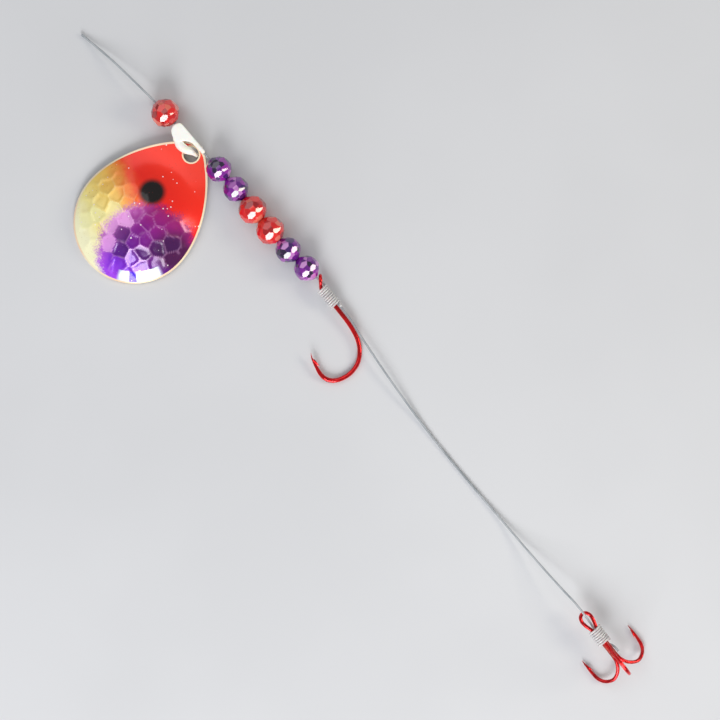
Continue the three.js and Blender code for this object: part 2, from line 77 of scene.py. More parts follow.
# On from the front hook, over the surface, up through the treble's eye and under its wraps.
TAIL_ROUTE = [
    (0.06445, -0.00137, 0.00165), (0.067, -0.00175, 0.00164), (0.0699, -0.0022, 0.00162),
    (0.074, -0.0028, 0.00158), (0.0793, -0.0035, 0.0012), (0.0857, -0.0042, 0.0006),
    (0.0905, -0.00465, 0.00035), (0.0956, -0.005, 0.0003), (0.105, -0.00545, 0.0003),
    (0.1161, -0.0058, 0.00065), (0.123, -0.00605, 0.0015), (0.1298, -0.0062, 0.0028),
    (0.1355, -0.0062, 0.004), (0.1382, -0.00615, 0.0045), (0.1403, -0.00625, 0.0048),
    (0.1414, -0.00637, 0.00474), (0.1424, -0.00647, 0.0044), (0.1433, -0.00655, 0.0039),
    (0.1441, -0.00665, 0.00345), (0.1452, -0.00683, 0.00322), (0.147, -0.00702, 0.0032),
    (0.14937, -0.00719, 0.0032), (0.15021, -0.00672, 0.00316), (0.15125, -0.00625, 0.0035),
    (0.15266, -0.00626, 0.0038),
]

# Each row of facets: its tilt from the bead's equator in degrees, its facets, and how far out they lie
# as a share of half the bead's width.  The small facets trim the corners between the large ones.
BEAD_ROWS = ((-56, 8, 1.0), (-19, 8, 1.0), (19, 8, 1.0), (56, 8, 1.0), (0, 16, 1.012), (-38, 16, 1.016),
             (38, 16, 1.016))
BEAD_ROLL = 20.9
BEAD_ROLL_SPREAD = 2.5
BEAD_BORE = 0.0014
BEAD_EDGE = 0.00004
FIRST_BEAD_SEED = 3
# Painted light on the bead facets, from painted shade to painted highlight, standing in for reflections
# inside the bead; the rounded edges get a painted highlight.
FACET_SHADES = (0.05, 0.25, 0.45, 0.6, 0.72, 0.95)
EDGE_HIGHLIGHT = 0.8
SAME_FACET = 0.998  # how closely a face must look a facet's way to belong to it, as a cosine
RED_ACROSS = 0.0060
PURPLE_ACROSS = 0.0054

FINGER_PIVOT = (0.006, -0.00175)
BLADE_HOLE = (0.01036, -0.00194)
BLADE_HEADING = -82.6
HOOK_WIRE = 0.001
HOOK_SLOPE = 0.12
HOOK_BEND_X = 0.0689
TREBLE_PLACE = (0.141, -0.00655, 0.0041)
TREBLE_HEADING = -4.5
TREBLE_WIRE = 0.0008
TREBLE_OFFSET = TREBLE_WIRE / math.sqrt(3)
SNELL_PITCH = 0.00052

# ---- camera and floor
PICTURE_MIDDLE = (0.0682, -0.005, 0.003)
PICTURE_WIDTH = 0.1565
PICTURE_TURN = 47.54  # from +X to the picture's right-hand side, in degrees
LENS = 120
SENSOR = 36
WARM_WHITE = (1.0, 0.92, 0.76)
AIR_COLOUR = (0.92, 0.95, 1.0, 1)
AIR_STRENGTH = 0.34


def at(x, y, z):
    return RIG_ORIGIN + Vector((x, y, z))


def in_scene(name, data):
    """A new object, linked into the scene."""
    made = bpy.data.objects.new(name, data)
    bpy.context.scene.collection.objects.link(made)
    return made


def picture_way(degrees, elevation):
    """The way to a light: degrees round from the picture's right, and degrees up from the floor."""
    turn = math.radians(degrees + PICTURE_TURN)
    rise = math.radians(elevation)
    return Vector((math.cos(turn) * math.cos(rise), math.sin(turn) * math.cos(rise), math.sin(rise)))


def place_camera():
    camera = in_scene("camera", bpy.data.cameras.new("camera"))
    camera.data.lens = LENS
    camera.data.sensor_width = SENSOR
    distance = PICTURE_WIDTH * LENS / SENSOR
    camera.data.clip_start = distance / 100
    camera.data.clip_end = distance * 20
    camera.location = at(*PICTURE_MIDDLE) + Vector((0, 0, distance))
    camera.rotation_euler = (0, 0, math.radians(PICTURE_TURN))
    bpy.context.scene.camera = camera


def place_light(name, degrees, elevation, distance, size, power, tint=(1, 1, 1)):
    lamp = bpy.data.lights.new(name, "AREA")
    lamp.shape = "RECTANGLE"
    lamp.size, lamp.size_y = size
    lamp.energy = power
    lamp.color = tint
    light = in_scene(name, lamp)
    way = picture_way(degrees, elevation)
    light.location = at(*PICTURE_MIDDLE) + way * distance
    light.rotation_mode = "QUATERNION"
    light.rotation_quaternion = way.to_track_quat("Z", "Y")


def place_lights():
    place_light("key_softbox", degrees=266, elevation=34, distance=0.65, size=(0.34, 0.34), power=3.6)
    place_light("right_softbox", degrees=2, elevation=29, distance=0.60, size=(0.20, 0.17), power=1.1,
                tint=WARM_WHITE)
    place_light("left_fill", degrees=128, elevation=55, distance=0.80, size=(0.80, 0.80), power=1.9)
    world = bpy.data.worlds.new("studio_air")
    world.use_nodes = True
    background = world.node_tree.nodes["Background"]
    background.inputs["Color"].default_value = AIR_COLOUR
    background.inputs["Strength"].default_value = AIR_STRENGTH
    bpy.context.scene.world = world


# ---- shader helpers
def colour(code):
    """A linear colour from the usual six-figure code."""
    parts = [int(code[index:index + 2], 16) / 255 for index in (0, 2, 4)]
    return (*[part / 12.92 if part <= 0.04045 else ((part + 0.055) / 1.055) ** 2.4 for part in parts], 1)


class Nodes:
    """A node tree with short ways to add and join its nodes."""

    def __init__(self, tree):
        self.tree = tree

    def add(self, kind, values=None, **settings):
        made = self.tree.nodes.new(kind)
        for name, value in settings.items():
            setattr(made, name, value)
        for name, value in (values or {}).items():
            self.feed(made.inputs[name], value)
        return made

    def feed(self, socket, value):
        if isinstance(value, bpy.types.NodeSocket):
            self.tree.links.new(value, socket)
        else:
            socket.default_value = value

    def maths(self, operation, first, second=0.0):
        made = self.add("ShaderNodeMath", {0: first, 1: second}, operation=operation)
        return made.outputs[0]

    def plus(self, first, second):
        return self.maths("ADD", first, second)

    def minus(self, first, second):
        return self.maths("SUBTRACT", first, second)

    def times(self, first, second):
        return self.maths("MULTIPLY", first, second)

    def over(self, first, second):
        return self.maths("DIVIDE", first, second)

    def mix(self, share, first, second):
        made = self.add("ShaderNodeMix", {0: share, 6: first, 7: second}, data_type="RGBA")
        return made.outputs[2]

    def step(self, value, low, high):
        """A smooth step from 0 at low to 1 at high; low may be the larger of the two."""
        start, end = (1.0, 0.0) if high < low else (0.0, 1.0)
        values = {"Value": value, "From Min": min(low, high), "From Max": max(low, high),
                  "To Min": start, "To Max": end}
        return self.add("ShaderNodeMapRange", values, interpolation_type="SMOOTHSTEP").outputs["Result"]

    def noise(self, place, scale, detail=3.0):
        values = {"Vector": place, "Scale": scale, "Detail": detail}
        return self.add("ShaderNodeTexNoise", values).outputs["Fac"]

    def ramp(self, value, stops):
        made = self.add("ShaderNodeValToRGB", {"Fac": value})
        elements = made.color_ramp.elements
        while len(elements) < len(stops):
            elements.new(0.5)
        for element, (position, code) in zip(elements, stops):
            element.position = position
            element.color = colour(code)
        return made.outputs["Color"]

    def value_of(self, attribute):
        return self.add("ShaderNodeAttribute", attribute_name=attribute).outputs["Fac"]

    def group(self, tree, values):
        made = self.add("ShaderNodeGroup", node_tree=tree)
        for name, value in values.items():
            self.feed(made.inputs[name], value)
        return made


def new_group(name, inputs, outputs):
    tree = bpy.data.node_groups.new(name, "ShaderNodeTree")
    for label, kind, default in inputs:
        socket = tree.interface.new_socket(label, in_out="INPUT", socket_type=kind)
        socket.default_value = default
    for label, kind in outputs:
        tree.interface.new_socket(label, in_out="OUTPUT", socket_type=kind)
    nodes = Nodes(tree)
    return nodes, nodes.add("NodeGroupInput"), nodes.add("NodeGroupOutput")


def handling_marks():
    """Fine unevenness from handling: a roughness that wanders, and a height for the bump."""
    inputs = [("Grain Size", "NodeSocketFloat", 0.001), ("Roughness", "NodeSocketFloat", 0.3),
              ("Spread", "NodeSocketFloat", 0.1)]
    outputs = [("Roughness", "NodeSocketFloat"), ("Height", "NodeSocketFloat")]
    nodes, given, result = new_group("handling_marks", inputs, outputs)
    place = nodes.add("ShaderNodeTexCoord").outputs["Object"]
    scale = nodes.over(1.0, given.outputs["Grain Size"])
    broad = nodes.noise(place, scale)
    fine = nodes.noise(place, nodes.times(scale, 4.0), 5.0)
    wander = nodes.times(nodes.minus(broad, 0.5), given.outputs["Spread"])
    nodes.feed(result.inputs["Roughness"], nodes.plus(given.outputs["Roughness"], wander))
    nodes.feed(result.inputs["Height"], nodes.plus(nodes.times(broad, 0.6), fine))
    return nodes.tree


def colour_drift():
    """Mixes two colours by slow noise, for dye and lacquer that isn't quite even."""
    inputs = [("Patch Size", "NodeSocketFloat", 0.002), ("First", "NodeSocketColor", (1, 1, 1, 1)),
              ("Second", "NodeSocketColor", (0, 0, 0, 1))]
    nodes, given, result = new_group("colour_drift", inputs, [("Color", "NodeSocketColor")])
    place = nodes.add("ShaderNodeTexCoord").outputs["Object"]
    scale = nodes.over(1.0, given.outputs["Patch Size"])
    share = nodes.step(nodes.noise(place, scale), 0.36, 0.66)
    nodes.feed(result.inputs["Color"], nodes.mix(share, given.outputs["First"], given.outputs["Second"]))
    return nodes.tree


NYLON_IOR = 1.53
BEAD_IOR = 1.6
MARKS = handling_marks()
DRIFT = colour_drift()


def new_material(name, constants):
    material = bpy.data.materials.new(name)
    material.use_nodes = True
    nodes = Nodes(material.node_tree)
    shader = material.node_tree.nodes["Principled BSDF"]
    for label, value in constants.items():
        shader.inputs[label].default_value = value
    return material, nodes, shader


def add_marks(nodes, shader, grain, roughness, spread, height):
    """Handling marks on a material, with their grain and height in millimetres."""
    marks = nodes.group(MARKS, {"Grain Size": grain * MM, "Roughness": roughness, "Spread": spread})
    bump = nodes.add("ShaderNodeBump", {"Height": marks.outputs["Height"], "Distance": height * MM})
    bump.inputs["Strength"].default_value = 0.5
    nodes.feed(shader.inputs["Roughness"], marks.outputs["Roughness"])
    nodes.feed(shader.inputs["Normal"], bump.outputs["Normal"])


# ---- materials
def drifting_finish(name, constants, patch, colours, **marks):
    """A finish whose colour drifts between two near ones, in patches of a size in millimetres."""
    material, nodes, shader = new_material(name, constants)
    first, second = [colour(code) for code in colours]
    drift = nodes.group(DRIFT, {"Patch Size": patch * MM, "First": first, "Second": second})
    nodes.feed(shader.inputs["Base Color"], drift.outputs["Color"])
    add_marks(nodes, shader, **marks)
    return material


def clear_nylon():
    constants = {"IOR": NYLON_IOR, "Transmission Weight": 0.45}
    return drifting_finish("clear_nylon", constants, patch=4, colours=("c9cdd1", "b4babf"),
                           grain=0.6, roughness=0.22, spread=0.15, height=0.01)


def knotted_nylon():
    constants = {"IOR": NYLON_IOR, "Transmission Weight": 0.35}
    return drifting_finish("knotted_nylon", constants, patch=1, colours=("f7f5f3", "dcd9dc"),
                           grain=0.4, roughness=0.2, spread=0.12, height=0.01)


def bead_acrylic(name, stops, transmission):
    """Dyed acrylic; each facet's own shade stands in for the reflections inside the bead."""
    constants = {"IOR": BEAD_IOR, "Transmission Weight": transmission, "Coat Weight": 1.0,
                 "Coat Roughness": 0.02}
    material, nodes, shader = new_material(name, constants)
    nodes.feed(shader.inputs["Base Color"], nodes.ramp(nodes.value_of("facet_painted_light"), stops))
    add_marks(nodes, shader, grain=1.5, roughness=0.05, spread=0.05, height=0.004)
    return material


def red_acrylic():
    stops = [(0.0, "a00004"), (0.3, "e60606"), (0.65, "ff180c"), (0.88, "ff4630"), (1.0, "ff9c84")]
    return bead_acrylic("red_acrylic", stops, 0.25)


def purple_acrylic():
    stops = [(0.0, "120226"), (0.28, "4a0876"), (0.6, "8c10a8"), (0.86, "c430c4"), (1.0, "eaa8f0")]
    return bead_acrylic("purple_acrylic", stops, 0.3)


def white_nylon():
    constants = {"Subsurface Weight": 0.15, "Subsurface Scale": 0.6 * MM, "IOR": NYLON_IOR}
    return drifting_finish("white_nylon", constants, patch=3, colours=("fbfbf4", "f3f2e6"),
                           grain=0.7, roughness=0.34, spread=0.12, height=0.012)


def red_lacquered_steel():
    constants = {"Metallic": 0.8, "Coat Weight": 0.5, "Coat Roughness": 0.06}
    return drifting_finish("red_lacquered_steel", constants, patch=2.5, colours=("ee1218", "c20a10"),
                           grain=0.8, roughness=0.16, spread=0.1, height=0.005)


def lacquered_braze():
    constants = {"Metallic": 0.5, "Coat Weight": 0.4, "Coat Roughness": 0.2}
    return drifting_finish("lacquered_braze", constants, patch=0.9, colours=("8c1016", "b5442c"),
                           grain=0.35, roughness=0.42, spread=0.2, height=0.03)


def bare_brass():
    return drifting_finish("bare_brass", {"Metallic": 0.9}, patch=5, colours=("d9b978", "c8a262"),
                           grain=0.9, roughness=0.3, spread=0.16, height=0.015)


def blade_edge():
    constants = {"Metallic": 0.15, "Coat Weight": 0.5, "Coat Roughness": 0.1}
    return drifting_finish("blade_edge", constants, patch=6, colours=("fff0cc", "ffdcb8"),
                           grain=0.8, roughness=0.25, spread=0.1, height=0.006)


def pale_floor():
    constants = {"Specular IOR Level": 0.0}
    return drifting_finish("pale_floor", constants, patch=80, colours=("d2d3d6", "cecfd2"),
                           grain=3, roughness=0.7, spread=0.1, height=0.01)


# The blade's paint is laid out in millimetres: along runs from the hole to the far end, across is to
# the hook's side.
BLADE_MIDDLE = 19.0
BLADE_HOLE_RADIUS = 1.7
BLADE_EDGE = 0.32
SPOT_MIDDLE = (11.7, -0.9)
PURPLE_MIDDLE = (22.8, 6.9)
DARK_MIDDLE = (18.9, 10.7)
AIRBRUSH_WANDER = (3.0, 2.0)  # along and across
GOLD_BORDER_SLOPE = 0.45
GOLD_BORDER = 15.2
GOLD_LENGTH = 16.0
RED_LENGTH = 20.0
PURPLE_START = 12.0
PURPLE_LENGTH = 19.0
SPRAY_WIDTH = 3.4
STREAK_ANGLE = 0.66
# Where each colour starts to show and where it is full.  The first four and the last two are in
# millimetres, the rest in levels of the flats' painted light, radians round the blade, or texture values.
GOLD_FADE = (-2.4, 1.6)
PINK_FADE = (2.5, -3.5)
DARK_FADE = (6.0, 2.2)
PURPLE_FADE = (12.1, 9.8)
# LIT_FADE and DEEP_FADE bring in the flats' painted highlights and painted shade; the PATCH and STREAK fades
# shape the painted reflection at the bottom edge.
LIT_FADE = (0.6, 0.95)
DEEP_FADE = (0.32, 0.05)
PATCH_START_FADE = (0.36, 0.44)
PATCH_END_FADE = (1.22, 1.1)
STREAK_FADE = (0.09, 0.05)
GLITTER_FADE = (0.12, 0.07)
SPECK_FADE = (0.66, 0.74)
PATCH_RADIUS_FADE = (10.9, 11.2)
SPOT_FADE = (3.5, 2.0)
# How much of each colour shows where it is full.
PINK_SHARE = 0.6
DARK_SHARE = 0.85
# FLAT_SHARE is how strongly the flats' painted highlights and shade show, BORDER_SHARE the painted highlight
# on their borders.
FLAT_SHARE = 0.6
BORDER_SHARE = 0.22
SPECK_SHARE = 0.35


def paint_distance(nodes, along, across, middle):
    first = nodes.minus(along, middle[0])
    second = nodes.minus(across, middle[1])
    squares = nodes.plus(nodes.times(first, first), nodes.times(second, second))
    return nodes.maths("SQRT", squares)


def paint_places(nodes):
    """Where a point is on the blade, plain and with the wander of an airbrush."""
    place = nodes.add("ShaderNodeTexCoord").outputs["Object"]
    values = {"Vector": place, "Location": at(*BLADE_HOLE, 0), "Scale": (MM, MM, MM),
              "Rotation": (0, 0, math.radians(BLADE_HEADING))}
    plain = nodes.add("ShaderNodeMapping", values, vector_type="TEXTURE").outputs["Vector"]
    parts = nodes.add("ShaderNodeSeparateXYZ", {"Vector": plain})
    wander = nodes.minus(nodes.noise(plain, 0.35, 4.0), 0.5)
    wander_along, wander_across = [nodes.times(wander, size) for size in AIRBRUSH_WANDER]
    along = nodes.plus(parts.outputs["X"], wander_along)
    across = nodes.minus(parts.outputs["Y"], wander_across)
    return plain, parts.outputs["X"], parts.outputs["Y"], along, across


def gold_and_red(nodes, along, across):
    """Red from the tip down the hook's side, and gold to cream down the other."""
    border = nodes.plus(nodes.times(across, GOLD_BORDER_SLOPE), GOLD_BORDER)
    depth = nodes.minus(along, border)
    stops = [(0.0, "ff5c20"), (0.16, "ff9e44"), (0.3, "ffc65c"), (0.52, "ffdc74"), (0.74, "fff09c"),
             (1.0, "fffbd0")]
    gold = nodes.ramp(nodes.over(depth, GOLD_LENGTH), stops)
    stops = [(0.0, "ff381a"), (0.5, "ff240e"), (1.0, "fa180e")]
    red = nodes.ramp(nodes.over(along, RED_LENGTH), stops)
    return nodes.mix(nodes.step(depth, *GOLD_FADE), red, gold)


def purple_blush(nodes, base, plain, along, across):
    """Purple sprayed over the far end, pink away from the hook's side and nearly black towards it."""
    stops = [(0.0, "a01468"), (0.35, "841084"), (0.65, "640a90"), (0.86, "7a1cd0"), (1.0, "a444ee")]
    tone = nodes.over(nodes.minus(along, PURPLE_START), PURPLE_LENGTH)
    purple = nodes.ramp(tone, stops)
    purple = nodes.mix(nodes.times(PINK_SHARE, nodes.step(across, *PINK_FADE)), purple, colour("ee80e4"))
    dark = nodes.step(paint_distance(nodes, along, across, DARK_MIDDLE), *DARK_FADE)
    purple = nodes.mix(nodes.times(DARK_SHARE, dark), purple, colour("3c0438"))
    grain = nodes.minus(nodes.noise(plain, 3.2, 2.0), 0.5)
    spray = nodes.times(grain, SPRAY_WIDTH)
    distance = nodes.plus(paint_distance(nodes, along, across, PURPLE_MIDDLE), spray)
    share = nodes.step(distance, *PURPLE_FADE)
    return nodes.mix(share, base, purple), share


def hammered_painted_light(nodes, base, purple_share):
    """Painted highlights on flats that would catch the light and painted shade on flats that would lie in
    shade, with a pale painted highlight where two flats meet.
    """
    shade = nodes.value_of("flat_painted_light")
    border = nodes.value_of("flat_border_highlight")
    pale = nodes.mix(purple_share, colour("fffbb8"), colour("f7b4f2"))
    deep = nodes.mix(purple_share, colour("e8943c"), colour("3a0452"))
    toned = nodes.mix(nodes.times(FLAT_SHARE, nodes.step(shade, *LIT_FADE)), base, pale)
    toned = nodes.mix(nodes.times(FLAT_SHARE, nodes.step(shade, *DEEP_FADE)), toned, deep)
    return nodes.mix(nodes.times(BORDER_SHARE, border), toned, pale)


def painted_reflection_patch(nodes, base, along, across):
    """A pale patch at the bottom edge with a blue-violet streak, painted to stand for a reflection."""
    ahead = nodes.minus(along, BLADE_MIDDLE)
    angle = nodes.maths("ARCTAN2", across, ahead)
    radius = paint_distance(nodes, along, across, (BLADE_MIDDLE, 0.0))
    started = nodes.step(angle, *PATCH_START_FADE)
    not_ended = nodes.step(angle, *PATCH_END_FADE)
    inside = nodes.times(started, not_ended)
    inside = nodes.times(inside, nodes.step(radius, *PATCH_RADIUS_FADE))
    off_streak = nodes.maths("ABSOLUTE", nodes.minus(angle, STREAK_ANGLE))
    streak = nodes.step(off_streak, *STREAK_FADE)
    reflection_tint = nodes.mix(streak, colour("e6f4ff"), colour("4a08e0"))
    return nodes.mix(inside, base, reflection_tint)


def glitter(nodes, plain):
    """Scattered bright flakes under the lacquer."""
    values = {"Vector": plain, "Scale": 0.62, "Randomness": 1.0}
    cells = nodes.add("ShaderNodeTexVoronoi", values)
    return nodes.step(cells.outputs["Distance"], *GLITTER_FADE)


def painted_face():
    constants = {"Metallic": 0.12, "Coat Weight": 0.3, "Coat Roughness": 0.12}
    material, nodes, shader = new_material("painted_face", constants)
    plain, true_along, true_across, along, across = paint_places(nodes)
    paint = gold_and_red(nodes, along, across)
    paint, purple_share = purple_blush(nodes, paint, plain, along, across)
    paint = hammered_painted_light(nodes, paint, purple_share)
    # A pale painted reflection at the bottom edge, crossed by a blue-violet streak.
    paint = painted_reflection_patch(nodes, paint, true_along, true_across)
    spot = nodes.step(paint_distance(nodes, true_along, true_across, SPOT_MIDDLE), *SPOT_FADE)
    paint = nodes.mix(spot, paint, colour("120806"))
    specks = nodes.step(nodes.noise(plain, 2.6, 2.0), *SPECK_FADE)
    paint = nodes.mix(nodes.times(SPECK_SHARE, specks), paint, colour("9a3020"))
    paint = nodes.mix(glitter(nodes, plain), paint, colour("fff0f4"))
    ring = BLADE_HOLE_RADIUS + BLADE_EDGE
    bare = nodes.step(paint_distance(nodes, true_along, true_across, (0.0, 0.0)), ring + 0.06, ring - 0.06)
    paint = nodes.mix(bare, paint, colour("ffe9c4"))
    nodes.feed(shader.inputs["Base Color"], paint)
    add_marks(nodes, shader, grain=1.2, roughness=0.22, spread=0.1, height=0.01)
    return material


# ---- mesh helpers
def smooth_path(points, steps):
    """A smooth curve through the points, with the given number of steps from each one to the next."""
    points = [Vector(point) for point in points]
    guides = [points[0] * 2 - points[1], *points, points[-1] * 2 - points[-2]]
    path = []
    for before, start, end, after in zip(guides, guides[1:], guides[2:], guides[3:]):
        first = math.sqrt((start - before).length)
        middle = math.sqrt((end - start).length)
        last = math.sqrt((after - end).length)
        out = (start - before) / first - (end - before) / (first + middle) + (end - start) / middle
        into = (end - start) / middle - (after - start) / (middle + last) + (after - end) / last
        for step in range(steps):
            u = step / steps
            path.append(start * (2 * u ** 3 - 3 * u ** 2 + 1) + end * (3 * u ** 2 - 2 * u ** 3)
                        + out * middle * (u ** 3 - 2 * u ** 2 + u) + into * middle * (u ** 3 - u ** 2))
    return [*path, points[-1]]


def even_path(path, spacing):
    """The same path with its points evenly spaced."""
    travelled = [0.0]
    for start, end in zip(path, path[1:]):
        travelled.append(travelled[-1] + (end - start).length)
    count = max(2, round(travelled[-1] / spacing))
    result = []
    index = 0
    for step in range(count + 1):
        goal = travelled[-1] * step / count
        while index < len(path) - 2 and travelled[index + 1] < goal:
            index += 1
        stretch = travelled[index + 1] - travelled[index]
        result.append(path[index].lerp(path[index + 1], (goal - travelled[index]) / stretch))
    return result


def between(stations, share):
    """The value at a share of the length, from a list of (share, value)."""
    for (low, first), (high, last) in zip(stations, stations[1:]):
        if share <= high:
            return first + (last - first) * (share - low) / (high - low)
    return stations[-1][1]


def swept(path, stations, sides):
    """Vertices and faces of a round bar along a path, whose radius follows the stations."""
    vertices = []
    faces = []
    ways = [(after - before).normalized() for before, after in zip([path[0], *path], [*path[1:], path[-1]])]
    across = ways[0].orthogonal().normalized()
    for index, (point, way) in enumerate(zip(path, ways)):
        across = (across - way * across.dot(way)).normalized()
        other = way.cross(across)
        radius = between(stations, index / (len(path) - 1))
        for side in range(sides):
            angle = 2 * math.pi * side / sides
            vertices.append(point + (across * math.cos(angle) + other * math.sin(angle)) * radius)
    for ring in range(len(path) - 1):
        for side in range(sides):
            here = ring * sides + side
            following = ring * sides + (side + 1) % sides
            faces.append((here, following, following + sides, here + sides))
    faces.append(tuple(reversed(range(sides))))
    last = (len(path) - 1) * sides
    faces.append(tuple(range(last, last + sides)))
    return vertices, faces


def even_bar(path, radius, sides):
    return swept(path, [(0, radius), (1, radius)], sides)


def together(shapes):
    vertices = []
    faces = []
    for some_vertices, some_faces in shapes:
        start = len(vertices)
        vertices.extend(some_vertices)
        faces.extend(tuple(index + start for index in face) for face in some_faces)
    return vertices, faces


def mesh_piece(name, shape, materials, smooth_angle=40):
    vertices, faces = shape
    mesh = bpy.data.meshes.new(name)
    mesh.from_pydata([tuple(vertex) for vertex in vertices], [], faces)
    for material in materials:
        mesh.materials.append(material)
    piece = in_scene(name, mesh)
    shade_smooth(mesh, smooth_angle)
    return piece


def shade_smooth(mesh, angle):
    mesh.shade_smooth()
    work = bmesh.new()
    work.from_mesh(mesh)
    for edge in work.edges:
        if len(edge.link_faces) == 2:
            edge.smooth = edge.calc_face_angle(0) < math.radians(angle)
    work.to_mesh(mesh)
    work.free()


def apply_modifiers(piece):
    evaluated = piece.evaluated_get(bpy.context.evaluated_depsgraph_get())
    mesh = bpy.data.meshes.new_from_object(evaluated)
    piece.modifiers.clear()
    piece.data = mesh


def combine(piece, tool, operation="DIFFERENCE"):
    """Cuts a tool out of a piece, or joins it on, and removes the tool."""
    modifier = piece.modifiers.new("cut", "BOOLEAN")
    modifier.operation = operation
    modifier.object = tool
    modifier.solver = "EXACT"
    apply_modifiers(piece)
    bpy.data.objects.remove(tool)


def rod(start, end, radius, sides=32):
    """A plain round tool, to cut with or to join on."""
    return mesh_piece("tool", even_bar([start, end], radius, sides), [])


def give(piece, body, slot, *nodes):
    """A piece rides on a body and stands for CAD nodes, whose meshes are hidden; the slot is not used."""
    if body is not None:
        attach(piece, body)
    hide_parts(*nodes)


# ---- the line
def line_path(route):
    return even_path(smooth_path([at(*point) for point in route], 24), LINE_SPACING)


def leader_cord(material):
    path = list(reversed(line_path(LEADER_ROUTE)))
    piece = mesh_piece("leader_cord", even_bar(path, LINE_DIAMETER / 2, LINE_SIDES), [material])
    give(piece, "leader", "clear_line", "leader_line")


def tail_cord(material):
    path = line_path(TAIL_ROUTE)
    piece = mesh_piece("tail_cord", even_bar(path, LINE_DIAMETER / 2, LINE_SIDES), [material])
    give(piece, None, "clear_line", "tail_line")
    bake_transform(piece)


# ---- beads
def facet_ways(roll):
    """The way each facet of a bead faces and how far out it lies; the bead's bore runs along X."""
    ways = []
    for row, (tilt, sides, reach) in enumerate(BEAD_ROWS):
        lean = math.radians(tilt)
        for side in range(sides):
            turn = (side + (row % 2) / 2) / sides * 2 * math.pi + roll
            way = (math.sin(lean), math.cos(lean) * math.cos(turn), math.cos(lean) * math.sin(turn))
            ways.append((Vector(way), reach))
    return ways


def cut_bead(across, length, ways):
    work = bmesh.new()
    block = Matrix.Diagonal((length, across * 1.2, across * 1.2, 1))
    bmesh.ops.create_cube(work, size=1, matrix=block)
    for way, reach in ways:
        everything = [*work.verts, *work.edges, *work.faces]
        cut = bmesh.ops.bisect_plane(work, geom=everything, dist=1e-7, plane_co=way * reach * across / 2,
                                     plane_no=way, clear_outer=True)
        rim = [element for element in cut["geom_cut"] if isinstance(element, bmesh.types.BMEdge)]
        bmesh.ops.edgeloop_fill(work, edges=rim)
    bmesh.ops.remove_doubles(work, verts=work.verts, dist=1e-6)
    bmesh.ops.bevel(work, geom=work.edges, offset=BEAD_EDGE, segments=2, profile=0.6, affect="EDGES",
                    clamp_overlap=True)
    bmesh.ops.recalc_face_normals(work, faces=work.faces)
    return work


def shade_facets(mesh, ways, random_source):
    """Gives each facet its own painted shade or highlight, standing in for reflections inside the bead, and
    the narrow rounded edges a painted highlight.
    """
    shades = [random_source.choice(FACET_SHADES) for _ in ways]
    attribute = mesh.attributes.new("facet_painted_light", "FLOAT", "FACE")
    for polygon in mesh.polygons:
        nearness, index = max((polygon.normal.dot(way), index) for index, (way, _) in enumerate(ways))
        attribute.data[polygon.index].value = shades[index] if nearness > SAME_FACET else EDGE_HIGHLIGHT


def bead(node, across, material, seed, body):
    random_source = random.Random(seed)
    low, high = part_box(node)
    middle = (low + high) / 2
    own_roll = random_source.uniform(-BEAD_ROLL_SPREAD, BEAD_ROLL_SPREAD)
    ways = facet_ways(math.radians(BEAD_ROLL + own_roll))
    work = cut_bead(across, high.x - low.x, ways)
    mesh = bpy.data.meshes.new(node)
    work.to_mesh(mesh)
    work.free()
    piece = in_scene(f"{node}_facets", mesh)
    reach = Vector((across, 0, 0))
    combine(piece, rod(-reach, reach, BEAD_BORE / 2))
    mesh = piece.data
    shade_facets(mesh, ways, random_source)
    mesh.transform(Matrix.Translation(middle))
    mesh.materials.clear()
    mesh.materials.append(material)
    shade_smooth(mesh, 12)
    give(piece, body, "purple_acrylic" if node.startswith("purple") else "red_acrylic", node)


def beads(red, purple):
    names = sorted(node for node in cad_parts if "bead" in node)
    for seed, node in enumerate(names, FIRST_BEAD_SEED):
        is_purple = node.startswith("purple")
        across = PURPLE_ACROSS if is_purple else RED_ACROSS
        bead(node, across, purple if is_purple else red, seed, f"{node}_turning")


# ---- clevis
CLEVIS_THICKNESS = 0.0021
CLEVIS_POST = [(0.01085, 0.0009, 0.0011), (0.01085, 0.00082, 0.0026)]
CLEVIS_POST_RADII = [(0, 0.00015), (1, 0.00022)]
CLEVIS_BORE = [(0.0, 0.0), (0.014, 0.00035)]
CLEVIS_BORE_RADIUS = 0.42 * MM
CLEVIS_GRID = 0.09 * MM  # how finely the moulding is remeshed before it is softened
CLEVIS_SOFTENING = 14
KNUCKLE_RADIUS = 1.0 * MM
KNUCKLE_INSET = 0.05 * MM
CLEVIS_OUTLINE = [
    (0.00375, 0.00075), (0.00335, 0.0001), (0.0033, -0.0007), (0.00375, -0.0016), (0.0046, -0.00215),
    (0.0056, -0.00245), (0.0066, -0.0023), (0.0069, -0.0016), (0.0075, -0.0009), (0.0082, -0.0004),
    (0.0089, -0.0001), (0.0105, -0.00006), (0.0119, -0.00005), (0.01225, 0.00015), (0.0123, 0.0005),
    (0.0119, 0.0008), (0.0095, 0.0009), (0.0069, 0.00098), (0.0046, 0.0011), (0.00405, 0.001),
]


def clevis_plate():
    vertices = []
    count = len(CLEVIS_OUTLINE)
    for height in (-CLEVIS_THICKNESS / 2, CLEVIS_THICKNESS / 2):
        vertices.extend(at(x, y, LINE_HEIGHT + height) for x, y in CLEVIS_OUTLINE)
    faces = [tuple(range(count)), tuple(reversed(range(count, 2 * count)))]
    for index in range(count):
        following = (index + 1) % count
        faces.append((index, index + count, following + count, following))
    return vertices, faces


